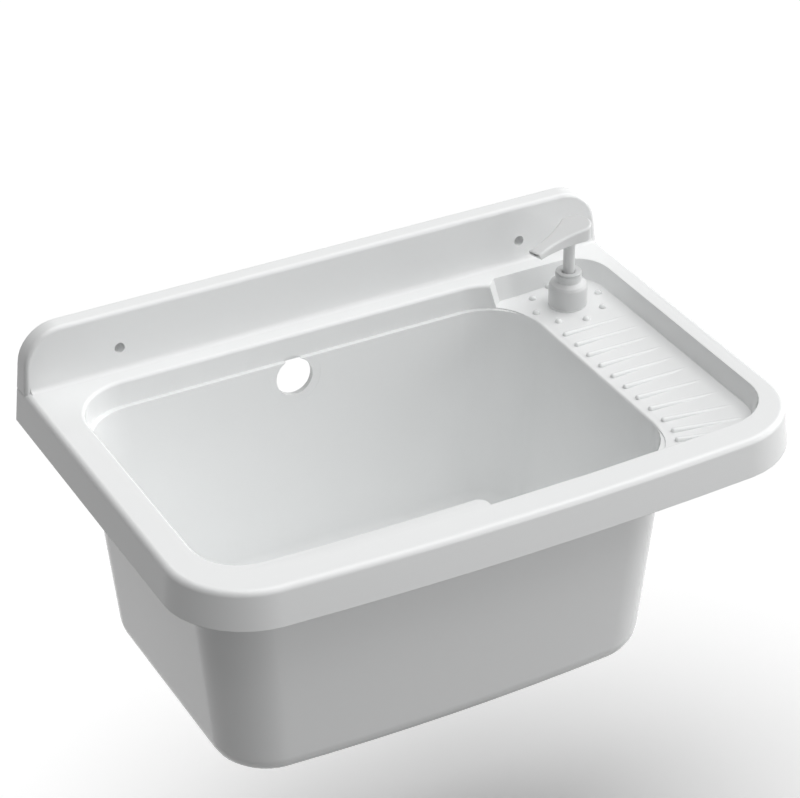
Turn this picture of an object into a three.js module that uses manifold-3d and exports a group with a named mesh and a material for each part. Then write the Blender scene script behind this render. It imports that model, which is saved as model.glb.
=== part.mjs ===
// Wall-hung laundry sink: a moulded polypropylene basin with a splashback and a side deck,
// a screw-clamped waste under the bowl, and a soap dispenser built into the deck.
// Millimetres. X runs along the wall, Y points into the wall and Z is up.
// The origin lies on the wall, at the middle of the sink, level with the top of the rim.
import * as THREE from 'three';
import { mergeVertices } from 'three/addons/utils/BufferGeometryUtils.js';
import Module from 'manifold-3d';

const wasm = await Module();
wasm.setup();

// ---- Clearances ----
const SEAT_GAP = 0.3; // between two pieces that touch
const SLIDE_GAP = 0.3; // round a piece that slides or turns
const OVERCUT = 1; // how far a cut runs past the face that it opens

// ---- Rim and apron ----
const SINK_WIDTH = 505; // across the foot of the apron
const SINK_DEPTH = 335; // wall to the middle of the apron's foot
const APRON_HEIGHT = 30;
const SIDE_DRAFT = 0.0991; // how far the sides lean in, for each mm up
const FRONT_DRAFT = 0.15;
const FRONT_BOW_RADIUS = 3100; // the front edge is a shallow arc
const RIM_CORNER_RADIUS = 62;
const RIM_EDGE_RADIUS = 4.5;
const SHELL = 4; // thickness of the moulded rim, apron and deck

// ---- Splashback ----
const SPLASH_HEIGHT = 48.4;
const SPLASH_TOP_DEPTH = 13.5;
const SPLASH_FOOT_DEPTH = 16.5;
const SPLASH_CORNER_RADIUS = 28;
const SPLASH_EDGE_RADIUS = 3.5;
const SPLASH_FOOT_RADIUS = 4;
const SCREW_HOLE_RADIUS = 4.15;
const SCREW_HOLE_SPACING = 348;
const SCREW_HOLE_HEIGHT = 18;
const SCREW_BOSS_WALL = 4;
const SPLASH_RIB = 3;
const SPLASH_RIB_PITCH = 49;
const SPLASH_RIBS_EACH_SIDE = 5;
const CENTRE_RIB = 8;

// ---- Bowl, outer faces given at the apron's foot ----
const BOWL_LEFT = -224.3;
const BOWL_RIGHT = 162;
const BOWL_FRONT = -298.4; // at the middle of its bowed front
const BOWL_BACK = -33.3;
const BOWL_SIDE_TAPER = 0.0965;
const BOWL_FRONT_TAPER = 0.0605;
const BOWL_BOW_RADIUS = 1990;
const BOWL_CORNER_RADIUS = 48.5;
const BOWL_FOOT_CORNER_RADIUS = 41.9;
const BOWL_FOOT_FILLET = 18.9;
const BOWL_DEPTH = 202.8; // rim top to the underside of the floor's edge
const BOWL_WALL = 4.2;
const BOWL_THICK_WALL = 5; // front and right
const FLOOR_FALL = 2; // slope of the floor down to the waste

// ---- Bowl mouth, above the line where the wall steps in ----
const MOUTH_LEFT = -223.6;
const MOUTH_BACK = -33;
const MOUTH_FRONT = -293.5;
const MOUTH_BOW_RADIUS = 4000;
const MOUTH_BACK_RADIUS = 44;
const MOUTH_FRONT_RADIUS = 37;
const MOUTH_EDGE_RADIUS = 3;
const STEP_DEPTH = 20; // rim top down to the deck's edge and the step in the wall
const STEP_WIDTH = 1.8;

// ---- Gently rolled lip at the front left of the mouth ----
const LIP_START_X = -212;
const LIP_FULL_X = -145;
const LIP_END_X = -17;
const LIP_WIDTH = 14.5;
const LIP_DROP = 1.8;
const LIP_END_RADIUS = 12;

// ---- Side deck, sunk below the rim ----
const DECK_RIGHT = 233.5;
const DECK_BACK = -31;
const DECK_FRONT = -306;
const DECK_NOTCH_X = 144;
const DECK_WALL_DRAFT = 0.2;
const DECK_BACK_RADIUS = 28;
const DECK_FRONT_RADIUS = 40;
const DECK_EDGE_RADIUS = 1;
const DECK_FALL = 3.5; // the deck slopes down to the bowl by this much
const RIB_COUNT = 11;
const RIB_PITCH = 17.3;
const RIB_FIRST_Y = -105.5;
const RIB_LEFT_X = 164;
const RIB_RIGHT_X = 224;
const RIB_RADIUS = 2.25;
const RIB_RISE = 3;

// ---- Overflow ----
const OVERFLOW_X = -37;
const OVERFLOW_DEPTH = 35; // rim top down to the hole's centre
const OVERFLOW_RADIUS = 15.5;
const OVERFLOW_SEAT_RADIUS = 22.5;
const OVERFLOW_SEAT_DEPTH = 0.6;

// ---- Ribs inside the apron ----
const WEB = 3;
const WEB_LIFT = 5; // how far the webs stop above the apron's foot
const FRONT_WEBS = 5;
const SIDE_WEBS = 3;
const BACK_WEBS = 4;

// ---- Waste ----
const FLANGE_RADIUS = 35.5;
const SUMP_DEPTH = 3.5;
const SUMP_CLEARANCE = 1;
const SUMP_WALL = 4.5;
const WASTE_HOLE_RADIUS = 22;
const FLANGE_SEAL_THICKNESS = 1.2;
const BODY_SEAL_THICKNESS = 2.5;
const STRAINER_DEPTH = 12;
const STRAINER_RADIUS = 20.5;
const STRAINER_PLATE = 2.5;
const STRAINER_HOLES = 6;
const STRAINER_HOLE_RADIUS = 4.3;
const STRAINER_HOLE_CIRCLE = 12.5;
const WASTE_SCREW_RADIUS = 2.5;
const WASTE_SCREW_HEAD_RADIUS = 5.2;
const WASTE_SCREW_HEAD_HEIGHT = 3;
const WASTE_SCREW_LENGTH = 20;
const SPIDER_BOSS_RADIUS = 6;
const SPIDER_HEIGHT = 9;
const SPIDER_ARM = 3;
const TAIL_RADIUS = 19.5;
const TAIL_BORE = 16;
const TAIL_LENGTH = 26;
const WASTE_CUP_DEPTH = 13;
const WASTE_FUNNEL_DEPTH = 9;
const WASTE_WALL = 2.6;
const NUT_RADIUS = 27;
const NUT_HEIGHT = 21;
const NUT_LIP = 3;
const NUT_GRIPS = 12;
const NUT_GRIP_RADIUS = 1.6;
const OUTLET_WASHER_THICKNESS = 4;

// ---- Soap dispenser, heights above its seat on the deck ----
const PUMP_X = 192.7;
const PUMP_Y = -65.4;
const PUMP_SEAT_DEPTH = 17.2; // rim top down to the flat seat
const PUMP_SEAT_RADIUS = 17;
const NUB_COUNT = 8;
const NUB_CIRCLE = 28.8;
const NUB_RADIUS = 2.7;
const DISPENSER_BOSS_RADIUS = 23;
const DISPENSER_BOSS_DEPTH = 7;
const COLLAR_RADIUS = 15.6;
const COLLAR_SIDE_HEIGHT = 13.5;
const COLLAR_SHOULDER_RADIUS = 12.6;
const COLLAR_SHOULDER_HEIGHT = 19;
const COLLAR_NECK_RADIUS = 10.5;
const COLLAR_TIER_HEIGHT = 20.6;
const COLLAR_HEIGHT = 27;
const COLLAR_WEB = 1.8;
const BUSH_RADIUS = 10.3;
const BUSH_RIM = 1.3;
const BUSH_SPIGOT_RADIUS = 7.8;
const BUSH_FOOT_HEIGHT = 9;
const NECK_RADIUS = 13;
const NECK_BORE = 10.7;
const NECK_TOP_HEIGHT = 14.2;
const CHAMBER_SEAL_THICKNESS = 0.9;
const CHAMBER_FLANGE = 1.2;
const CHAMBER_FLANGE_RADIUS = 12.4;
const CHAMBER_WALL = 1.1;
const CHAMBER_RADIUS = 6.2; // bore that the piston runs in
const CHAMBER_FOOT_HEIGHT = -45;
const CHAMBER_SOCKET_LENGTH = 12;
const STEM_RADIUS = 4.7;
const STEM_BORE = 2;
const STEM_SPIGOT_RADIUS = 3.2;
const STEM_SPIGOT_LENGTH = 9;
const PISTON_LENGTH = 12;
const STROKE = 14;
const SPRING_WIRE_RADIUS = 0.45;
const SPRING_RADIUS = 4.6;
const SPRING_TURNS = 8;
const BALL_RADIUS = 2.4;
const BALL_SEAT_RADIUS = 1.8;
const BALL_LIFT = 1.5;
const BALL_STOP_RADIUS = 1.9; // the lip above the ball that keeps it in
const BALL_STOP_THICKNESS = 1;
const DIP_TUBE_RADIUS = 2.6;
const DIP_TUBE_BORE = 1.7;
const BOTTLE_RADIUS = 26;
const BOTTLE_HEIGHT = 96;
const BOTTLE_WALL = 1.5;
const BOTTLE_SHOULDER_RADIUS = 6;
const BOTTLE_SEAL_THICKNESS = 2;
const BOTTLE_SEAL_RADIUS = 20;

// ---- Pump head, heights above the dispenser's seat ----
const HEAD_TURN = 200; // degrees from +X to the nozzle
const HEAD_UNDERSIDE_HEIGHT = 57.2;
const HEAD_REACH = 44.6; // stem axis to the mouth
const HEAD_MOUTH_HALF_WIDTH = 5.6;
const HEAD_WAIST_HALF_WIDTH = 6.6;
const HEAD_REAR_RADIUS = 13.1;
const HEAD_REAR_OFFSET = 6; // centre of the round rear, behind the stem axis
const HEAD_MOUTH_THICKNESS = 6;
const HEAD_REAR_THICKNESS = 12.6;
const HEAD_EDGE_RADIUS = 2;
const HEAD_SOCKET_DEPTH = 6.5;
const MOUTH_SLIT_WIDTH = 8;
const MOUTH_SLIT_HEIGHT = 1.3;
const MOUTH_SLIT_DEPTH = 4;
const MOUTH_LIP = 1.2; // plastic above the slit
const HEAD_CHANNEL_RADIUS = 1.6;

// ---- Facets ----
const CORNER_STEPS = 9;
const FRONT_STEPS = 8;
const EDGE_STEPS = 3;
const FILLET_STEPS = 5;
const ROUND = 32;
const SMALL_ROUND = 16;

// ---- Sizes that follow from those above ----
const RIM_FOOT_Z = -APRON_HEIGHT;
const DECK_EDGE_Z = -STEP_DEPTH;
const FLOOR_Z = BOWL_WALL - BOWL_DEPTH;
const SUMP_EDGE_Z = FLOOR_Z - FLOOR_FALL;
const SUMP_Z = SUMP_EDGE_Z - SUMP_DEPTH;
const SUMP_RADIUS = FLANGE_RADIUS + SUMP_CLEARANCE;
const SUMP_UNDERSIDE_Z = SUMP_Z - BOWL_WALL;
const WASTE_X = (BOWL_LEFT + BOWL_RIGHT) / 2;
const WASTE_Y = (BOWL_FRONT + BOWL_BACK) / 2;
const PUMP_SEAT_Z = -PUMP_SEAT_DEPTH;
const PUMP_BOSS_Z = PUMP_SEAT_Z - DISPENSER_BOSS_DEPTH;
const NECK_HOLE_RADIUS = NECK_RADIUS + 2 * SLIDE_GAP;
const STEM_TOP_HEIGHT = HEAD_UNDERSIDE_HEIGHT + HEAD_SOCKET_DEPTH - SEAT_GAP;

const white = (name, roughness) => new THREE.MeshStandardMaterial({ name, color: 0xf2f3f3, roughness });
const finishes = {
  basin: () => white('moulded_polypropylene', 0.22),
  pump: () => white('pump_polypropylene', 0.35),
  natural: () => new THREE.MeshStandardMaterial({ color: 0xe4e7e6, roughness: 0.4 }),
  rubber: () => new THREE.MeshStandardMaterial({ color: 0x26282a, roughness: 0.8 }),
  steel: () => new THREE.MeshStandardMaterial({ color: 0xc9cccf, roughness: 0.3, metalness: 1 }),
};

// ---- Solids: joining, cutting and lofting ----

function solid(geometry) {
  const bare = geometry.clone();
  bare.deleteAttribute('normal');
  bare.deleteAttribute('uv');
  const merged = mergeVertices(bare, 1e-4);
  return new wasm.Manifold(new wasm.Mesh({
    numProp: 3,
    vertProperties: new Float32Array(merged.attributes.position.array),
    triVerts: new Uint32Array(merged.index.array),
  }));
}

function surface(body) {
  const mesh = body.getMesh();
  const geometry = new THREE.BufferGeometry();
  geometry.setAttribute('position', new THREE.BufferAttribute(new Float32Array(mesh.vertProperties), 3));
  geometry.setIndex(new THREE.BufferAttribute(new Uint32Array(mesh.triVerts), 1));
  geometry.computeVertexNormals();
  return geometry;
}

const join = (...bodies) => bodies.reduce((sum, body) => sum.add(body));
const cut = (body, ...tools) => tools.reduce((rest, tool) => rest.subtract(tool), body);

// A closed solid through rings of equally many points, each anticlockwise in the u-v plane
// as seen from the last ring.
function loft(rings, u = 'x', v = 'y') {
  const count = rings[0].length;
  const positions = rings.flat().flatMap((p) => [p.x, p.y, p.z]);
  const faces = [];
  for (let k = 0; k < rings.length - 1; k++) {
    for (let i = 0; i < count; i++) {
      const a = k * count + i;
      const b = k * count + (i + 1) % count;
      faces.push(a, b, b + count, a, b + count, a + count);
    }
  }
  const lid = (ring, offset, flip) => {
    const contour = ring.map((p) => new THREE.Vector2(p[u], p[v]));
    for (const [a, b, c] of THREE.ShapeUtils.triangulateShape(contour, [])) {
      faces.push(...(flip ? [a, c, b] : [a, b, c]).map((i) => i + offset));
    }
  };
  lid(rings[0], 0, true);
  lid(rings.at(-1), (rings.length - 1) * count, false);
  const geometry = new THREE.BufferGeometry();
  geometry.setAttribute('position', new THREE.Float32BufferAttribute(positions, 3));
  geometry.setIndex(faces);
  return geometry;
}

function box(left, right, front, back, bottom, top) {
  const geometry = new THREE.BoxGeometry(right - left, back - front, top - bottom);
  geometry.translate((left + right) / 2, (front + back) / 2, (bottom + top) / 2);
  return solid(geometry);
}

// A round bar along Z.
function bar(radius, bottom, top, x = 0, y = 0, sides = ROUND) {
  const geometry = new THREE.CylinderGeometry(radius, radius, top - bottom, sides);
  geometry.rotateX(Math.PI / 2);
  geometry.translate(x, y, (bottom + top) / 2);
  return solid(geometry);
}

// A round bar along Y.
function crossBar(radius, front, back, x, z, sides = ROUND) {
  const geometry = new THREE.CylinderGeometry(radius, radius, back - front, sides);
  geometry.translate(x, (front + back) / 2, z);
  return solid(geometry);
}

// A profile of [radius, height] points turned about the Z axis. It closes on itself.
function turned(profile, sides = ROUND) {
  const points = profile.map(([radius, height]) => new THREE.Vector2(radius, height));
  if (THREE.ShapeUtils.isClockWise(points)) points.reverse();
  const geometry = new THREE.LatheGeometry([...points, points[0]], sides);
  geometry.rotateX(Math.PI / 2);
  return solid(geometry);
}

// Steps round a quarter circle: how far in and how far up a rounded edge has come.
function quarter(radius, steps) {
  return Array.from({ length: steps + 1 }, (_, k) => {
    const angle = (Math.PI / 2) * (k / steps);
    return { inset: radius * (1 - Math.cos(angle)), rise: radius * Math.sin(angle) };
  });
}

// ---- Outlines in plan ----

function arc(points, x, y, radius, from, to, steps, z) {
  for (let k = 0; k <= steps; k++) {
    const angle = THREE.MathUtils.degToRad(from + (to - from) * (k / steps));
    points.push(new THREE.Vector3(x + radius * Math.cos(angle), y + radius * Math.sin(angle), z));
  }
}

// Pulls the ends of a front edge back towards the wall, so that it follows a shallow arc.
function bowed(points, front, middle, centre, radius) {
  for (const p of points) {
    const share = THREE.MathUtils.clamp((middle - p.y) / (middle - front), 0, 1);
    p.y += share * (p.x - centre) ** 2 / (2 * radius);
  }
  return points;
}

// A rounded rectangle with a bowed front, anticlockwise from its right side.
// Back corners of radius 0 are square.
function tub({ left, right, front, back, backRadius, frontRadius, bow, centre }, z) {
  const points = [];
  if (backRadius > 0) {
    arc(points, right - backRadius, back - backRadius, backRadius, 0, 90, CORNER_STEPS, z);
    arc(points, left + backRadius, back - backRadius, backRadius, 90, 180, CORNER_STEPS, z);
  } else {
    points.push(new THREE.Vector3(right, back, z), new THREE.Vector3(left, back, z));
  }
  arc(points, left + frontRadius, front + frontRadius, frontRadius, 180, 270, CORNER_STEPS, z);
  const start = left + frontRadius;
  const run = right - frontRadius - start;
  for (let k = 1; k < FRONT_STEPS; k++) {
    points.push(new THREE.Vector3(start + run * (k / FRONT_STEPS), front, z));
  }
  arc(points, right - frontRadius, front + frontRadius, frontRadius, 270, 360, CORNER_STEPS, z);
  return bowed(points, front, (front + back) / 2, centre, bow);
}

// ---- Rim and apron ----

const halfWidthAt = (z) => SINK_WIDTH / 2 - SIDE_DRAFT * (z + APRON_HEIGHT);
const rimFrontAt = (z) => -SINK_DEPTH + FRONT_DRAFT * (z + APRON_HEIGHT);

function rimOutline(z, inset, back) {
  const drawnIn = (SIDE_DRAFT + FRONT_DRAFT) / 2 * (z + APRON_HEIGHT);
  return tub({
    left: inset - halfWidthAt(z),
    right: halfWidthAt(z) - inset,
    front: rimFrontAt(z) + inset,
    back,
    backRadius: 0,
    frontRadius: RIM_CORNER_RADIUS - drawnIn - inset,
    bow: FRONT_BOW_RADIUS,
    centre: 0,
  }, z);
}

function rimBlock() {
  const edge = quarter(RIM_EDGE_RADIUS, EDGE_STEPS + 1);
  return solid(loft([
    rimOutline(RIM_FOOT_Z, 0, 0),
    ...edge.map(({ inset, rise }) => rimOutline(rise - RIM_EDGE_RADIUS, inset, 0)),
  ]));
}

function rimHollow() {
  return solid(loft([
    rimOutline(RIM_FOOT_Z - OVERCUT, SHELL, -SHELL),
    rimOutline(-SHELL, SHELL, -SHELL),
  ]));
}

// ---- Splashback ----

const splashDepthAt = (z) => THREE.MathUtils.lerp(SPLASH_FOOT_DEPTH, SPLASH_TOP_DEPTH, z / SPLASH_HEIGHT);

// An arch across the back of the sink, at a distance from the wall that depends on height.
function splashOutline(inset, foot, yAt) {
  const half = halfWidthAt(0) - inset;
  const top = SPLASH_HEIGHT - inset;
  const radius = SPLASH_CORNER_RADIUS - inset;
  const flat = [];
  arc(flat, half - radius, top - radius, radius, 0, 90, CORNER_STEPS, 0);
  arc(flat, radius - half, top - radius, radius, 90, 180, CORNER_STEPS, 0);
  flat.unshift(new THREE.Vector3(half, foot, 0));
  flat.push(new THREE.Vector3(-half, foot, 0));
  return flat.map((p) => {
    const x = p.x - Math.sign(p.x) * SIDE_DRAFT * p.y;
    return new THREE.Vector3(x, yAt(p.y), p.y);
  });
}

function splashBlock() {
  const foot = -SHELL / 2;
  const edge = quarter(SPLASH_EDGE_RADIUS, EDGE_STEPS);
  return solid(loft([
    splashOutline(0, foot, () => 0),
    ...edge.map(({ inset, rise }) =>
      splashOutline(inset, foot, (z) => SPLASH_EDGE_RADIUS - rise - splashDepthAt(z))),
  ], 'x', 'z'));
}

// The hollow behind the splashback, with its ribs and screw bosses left standing.
function splashHollow() {
  const hollow = solid(loft([
    splashOutline(SHELL, 0, () => OVERCUT),
    splashOutline(SHELL, 0, (z) => SHELL - splashDepthAt(z)),
  ], 'x', 'z'));
  const deep = -SPLASH_FOOT_DEPTH;
  const kept = [box(-CENTRE_RIB / 2, CENTRE_RIB / 2, deep, 2 * OVERCUT, -SHELL, SPLASH_HEIGHT)];
  for (const side of [-1, 1]) {
    for (let k = 1; k <= SPLASH_RIBS_EACH_SIDE; k++) {
      const x = side * (k - 0.5) * SPLASH_RIB_PITCH;
      kept.push(box(x - SPLASH_RIB / 2, x + SPLASH_RIB / 2, deep, 2 * OVERCUT, -SHELL, SPLASH_HEIGHT));
    }
    const bossX = side * SCREW_HOLE_SPACING / 2;
    kept.push(crossBar(SCREW_HOLE_RADIUS + SCREW_BOSS_WALL, deep, 2 * OVERCUT, bossX, SCREW_HOLE_HEIGHT));
  }
  return cut(hollow, ...kept);
}

function screwHole(side) {
  const x = side * SCREW_HOLE_SPACING / 2;
  return crossBar(SCREW_HOLE_RADIUS, -SPLASH_FOOT_DEPTH - OVERCUT, OVERCUT, x, SCREW_HOLE_HEIGHT);
}

// The small concave fillet where the splashback meets the rim.
function splashFootFillet() {
  const depth = splashDepthAt(SPLASH_FOOT_RADIUS);
  const half = halfWidthAt(0) - RIM_EDGE_RADIUS;
  const section = (x) => {
    const points = [new THREE.Vector3(x, -depth + OVERCUT, SPLASH_FOOT_RADIUS)];
    arc2(points, x);
    points.push(new THREE.Vector3(x, -depth - SPLASH_FOOT_RADIUS, -OVERCUT));
    points.push(new THREE.Vector3(x, -depth + OVERCUT, -OVERCUT));
    return points;
  };
  const arc2 = (points, x) => {
    for (let k = 0; k <= EDGE_STEPS; k++) {
      const angle = (Math.PI / 2) * (k / EDGE_STEPS);
      const y = -depth - SPLASH_FOOT_RADIUS * (1 - Math.cos(angle));
      const z = SPLASH_FOOT_RADIUS * (1 - Math.sin(angle));
      points.push(new THREE.Vector3(x, y, z));
    }
  };
  return solid(loft([section(-half), section(half)], 'y', 'z'));
}

// ---- Bowl ----

function bowlOutline(z, walls, inset = 0) {
  const down = RIM_FOOT_Z - z;
  const share = THREE.MathUtils.clamp(down / (BOWL_DEPTH - APRON_HEIGHT - BOWL_FOOT_FILLET), 0, 1);
  const radius = THREE.MathUtils.lerp(BOWL_CORNER_RADIUS, BOWL_FOOT_CORNER_RADIUS, share);
  return tub({
    left: BOWL_LEFT + BOWL_SIDE_TAPER * down + walls.thin + inset,
    right: BOWL_RIGHT - BOWL_SIDE_TAPER * down - walls.thick - inset,
    front: BOWL_FRONT + BOWL_FRONT_TAPER * down + walls.thick + inset,
    back: BOWL_BACK - BOWL_FRONT_TAPER * down - walls.thin - inset,
    backRadius: radius - walls.thin - inset,
    frontRadius: radius - walls.thin - inset,
    bow: BOWL_BOW_RADIUS,
    centre: WASTE_X,
  }, z);
}

// The floor's last ring: a circle round the waste, point for point with the outline above it.
function floorRing(above, radius, z) {
  return above.map((p) => {
    const angle = Math.atan2(p.y - WASTE_Y, p.x - WASTE_X);
    const x = WASTE_X + radius * Math.cos(angle);
    return new THREE.Vector3(x, WASTE_Y + radius * Math.sin(angle), z);
  });
}

function bowlSolid(walls, bottom, fillet, topRings) {
  const foot = quarter(fillet, FILLET_STEPS).reverse();
  const base = foot.map(({ inset, rise }) => bowlOutline(bottom + fillet - rise, walls, inset));
  base[0].forEach((p) => { p.z = bottom; });
  const ring = floorRing(base[0], SUMP_RADIUS, bottom - FLOOR_FALL);
  return solid(loft([ring, ...base, ...topRings]));
}

function bowlBlock() {
  const walls = { thin: 0, thick: 0 };
  return bowlSolid(walls, -BOWL_DEPTH, BOWL_FOOT_FILLET, [
    bowlOutline(RIM_FOOT_Z, walls),
    bowlOutline(-SHELL / 2, walls),
  ]);
}

function bowlCavity() {
  const walls = { thin: BOWL_WALL, thick: BOWL_THICK_WALL };
  const flare = quarter(STEP_WIDTH, EDGE_STEPS).map(({ inset, rise }) =>
    bowlOutline(DECK_EDGE_Z - STEP_WIDTH + rise, walls, -inset));
  const lift = flare.at(-1).map((p) => p.clone().setZ(DECK_EDGE_Z + STEP_WIDTH / 4));
  return bowlSolid(walls, FLOOR_Z, BOWL_FOOT_FILLET - BOWL_WALL, [...flare, lift]);
}

// The mouth of the bowl above the step, with its rounded upper edge.
function mouthOutline(z, flare) {
  return tub({
    left: MOUTH_LEFT - flare,
    right: BOWL_RIGHT - BOWL_THICK_WALL + flare,
    front: MOUTH_FRONT - flare,
    back: MOUTH_BACK + flare,
    backRadius: MOUTH_BACK_RADIUS + flare,
    frontRadius: MOUTH_FRONT_RADIUS + flare,
    bow: MOUTH_BOW_RADIUS,
    centre: WASTE_X,
  }, z);
}

// The wall round the mouth, hidden inside the apron.
function mouthCasing() {
  return solid(loft([
    mouthOutline(DECK_EDGE_Z - SHELL, BOWL_WALL),
    mouthOutline(-SHELL / 2, BOWL_WALL),
  ]));
}

function bowlMouth() {
  const edge = quarter(MOUTH_EDGE_RADIUS, EDGE_STEPS);
  return solid(loft([
    mouthOutline(DECK_EDGE_Z - STEP_WIDTH / 2, 0),
    ...edge.map(({ inset, rise }) => mouthOutline(rise - MOUTH_EDGE_RADIUS, inset)),
    mouthOutline(OVERCUT, MOUTH_EDGE_RADIUS),
  ]));
}

// What is cut away over the lip: a long shallow roll that grows from nothing at the left.
function lipRoll() {
  const stations = 9;
  const inner = MOUTH_FRONT + MOUTH_EDGE_RADIUS;
  const section = (x) => {
    const grown = THREE.MathUtils.smoothstep(x, LIP_START_X, LIP_FULL_X);
    const width = MOUTH_EDGE_RADIUS + (LIP_WIDTH - MOUTH_EDGE_RADIUS) * grown;
    const drop = 0.02 + LIP_DROP * grown;
    const points = [];
    const steps = 4;
    for (let k = 0; k <= steps; k++) {
      const share = k / steps;
      const y = inner - MOUTH_EDGE_RADIUS - width * (1 - share);
      points.push(new THREE.Vector3(x, y, -drop * share ** 2));
    }
    points.push(new THREE.Vector3(x, inner + MOUTH_EDGE_RADIUS, -drop));
    points.push(new THREE.Vector3(x, inner + MOUTH_EDGE_RADIUS, OVERCUT));
    points.push(new THREE.Vector3(x, inner - MOUTH_EDGE_RADIUS - width, OVERCUT));
    return points;
  };
  const rings = Array.from({ length: stations }, (_, k) =>
    section(THREE.MathUtils.lerp(LIP_START_X, LIP_END_X, k / (stations - 1))));
  return solid(loft(rings, 'y', 'z'));
}

// ---- Side deck ----

// Rounds the corners of a polygon. A corner is [x, y, radius], and its arc may turn either way.
function rounded(corners, z) {
  const points = [];
  corners.forEach(([x, y, radius = 0], k) => {
    const corner = new THREE.Vector2(x, y);
    const before = corners.at(k - 1);
    const after = corners[(k + 1) % corners.length];
    const back = new THREE.Vector2(before[0], before[1]).sub(corner).normalize();
    const ahead = new THREE.Vector2(after[0], after[1]).sub(corner).normalize();
    const half = Math.acos(THREE.MathUtils.clamp(back.dot(ahead), -1, 1)) / 2;
    if (radius === 0) {
      points.push(new THREE.Vector3(x, y, z));
      return;
    }
    const steps = radius > 5 ? CORNER_STEPS : 2;
    const reach = radius / Math.tan(half);
    const middle = back.clone().add(ahead).normalize().multiplyScalar(radius / Math.sin(half)).add(corner);
    const first = back.clone().multiplyScalar(reach).add(corner).sub(middle);
    const last = ahead.clone().multiplyScalar(reach).add(corner).sub(middle);
    const from = first.angle();
    const sweep = Math.atan2(first.cross(last), first.dot(last));
    for (let i = 0; i <= steps; i++) {
      const angle = from + sweep * (i / steps);
      points.push(new THREE.Vector3(middle.x + radius * Math.cos(angle), middle.y + radius * Math.sin(angle), z));
    }
  });
  return points;
}

// The deck's outline. It closes across the bowl's mouth, where nothing is left to cut.
function deckOutline(z, grow) {
  const lipX = LIP_END_X - grow;
  const lipY = MOUTH_FRONT + STEP_WIDTH / 2;
  const front = DECK_FRONT - grow;
  const right = DECK_RIGHT + grow;
  const back = DECK_BACK + grow;
  const frontRadius = DECK_FRONT_RADIUS + grow;
  const inLip = lipX - 2 * LIP_END_RADIUS;
  const corners = [
    [inLip, lipY + LIP_END_RADIUS],
    [inLip, lipY],
    [lipX, lipY, LIP_END_RADIUS - 1.5 - grow / 8],
    [lipX, front],
  ];
  for (let k = 1; k < FRONT_STEPS; k++) {
    corners.push([THREE.MathUtils.lerp(lipX, right - frontRadius, k / FRONT_STEPS), front]);
  }
  corners.push([right, front, frontRadius]);
  corners.push([right, back, DECK_BACK_RADIUS + grow]);
  corners.push([DECK_NOTCH_X - grow, back]);
  corners.push([DECK_NOTCH_X - MOUTH_BACK_RADIUS / 2 - grow, back - MOUTH_BACK_RADIUS / 2]);
  const middle = (front + back) / 2;
  return bowed(rounded(corners, z), front, middle, 0, FRONT_BOW_RADIUS);
}

const deckWallAt = (z) => DECK_WALL_DRAFT * z;

function deckRecess() {
  const edge = quarter(DECK_EDGE_RADIUS, 2);
  return solid(loft([
    deckOutline(DECK_EDGE_Z, deckWallAt(DECK_EDGE_Z)),
    ...edge.map(({ inset, rise }) =>
      deckOutline(rise - DECK_EDGE_RADIUS, deckWallAt(-DECK_EDGE_RADIUS) + inset)),
    deckOutline(OVERCUT, deckWallAt(-DECK_EDGE_RADIUS) + DECK_EDGE_RADIUS),
  ]));
}

function deckCasing() {
  const bottom = DECK_EDGE_Z - SHELL;
  return solid(loft([
    deckOutline(bottom, deckWallAt(bottom) + SHELL),
    deckOutline(-SHELL / 2, deckWallAt(-SHELL / 2) + SHELL),
  ]));
}

const deckSlope = DECK_FALL / (DECK_RIGHT - BOWL_RIGHT);
const deckZAt = (x) => DECK_EDGE_Z + deckSlope * (x - BOWL_RIGHT);

// The sloping floor of the deck, let into the walls round it.
function deckSlab() {
  const grow = deckWallAt(DECK_EDGE_Z) + SHELL / 2;
  const left = BOWL_RIGHT - BOWL_THICK_WALL;
  const right = DECK_RIGHT + grow;
  const outline = (z) => rounded([
    [left, DECK_FRONT - grow + FRONT_SLACK],
    [right, DECK_FRONT - grow + FRONT_SLACK, DECK_FRONT_RADIUS + grow],
    [right, DECK_BACK + grow, DECK_BACK_RADIUS + grow],
    [left, DECK_BACK + grow],
  ], z);
  const top = outline(0);
  top.forEach((p) => { p.z = deckZAt(p.x); });
  return solid(loft([outline(DECK_EDGE_Z - SHELL / 2), top]));
}
const FRONT_SLACK = DECK_RIGHT ** 2 / (2 * FRONT_BOW_RADIUS);

// A rounded bar with a level top, which the rising deck meets at its right end.
function drainRib(index) {
  const length = RIB_RIGHT_X - RIB_LEFT_X - 2 * RIB_RADIUS;
  const geometry = new THREE.CapsuleGeometry(RIB_RADIUS, length, 3, 10);
  geometry.rotateZ(Math.PI / 2);
  const z = deckZAt(RIB_LEFT_X) + RIB_RISE - RIB_RADIUS;
  geometry.translate((RIB_LEFT_X + RIB_RIGHT_X) / 2, RIB_FIRST_Y - RIB_PITCH * index, z);
  return solid(geometry);
}

function nub(index) {
  const angle = 2 * Math.PI * index / NUB_COUNT;
  const x = PUMP_X + NUB_CIRCLE * Math.cos(angle);
  const geometry = new THREE.SphereGeometry(NUB_RADIUS, 10, 6);
  geometry.rotateX(Math.PI / 2);
  geometry.translate(x, PUMP_Y + NUB_CIRCLE * Math.sin(angle), deckZAt(x) - NUB_RADIUS * 0.15);
  return solid(geometry);
}

// ---- Webs that stiffen the apron ----

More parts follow.
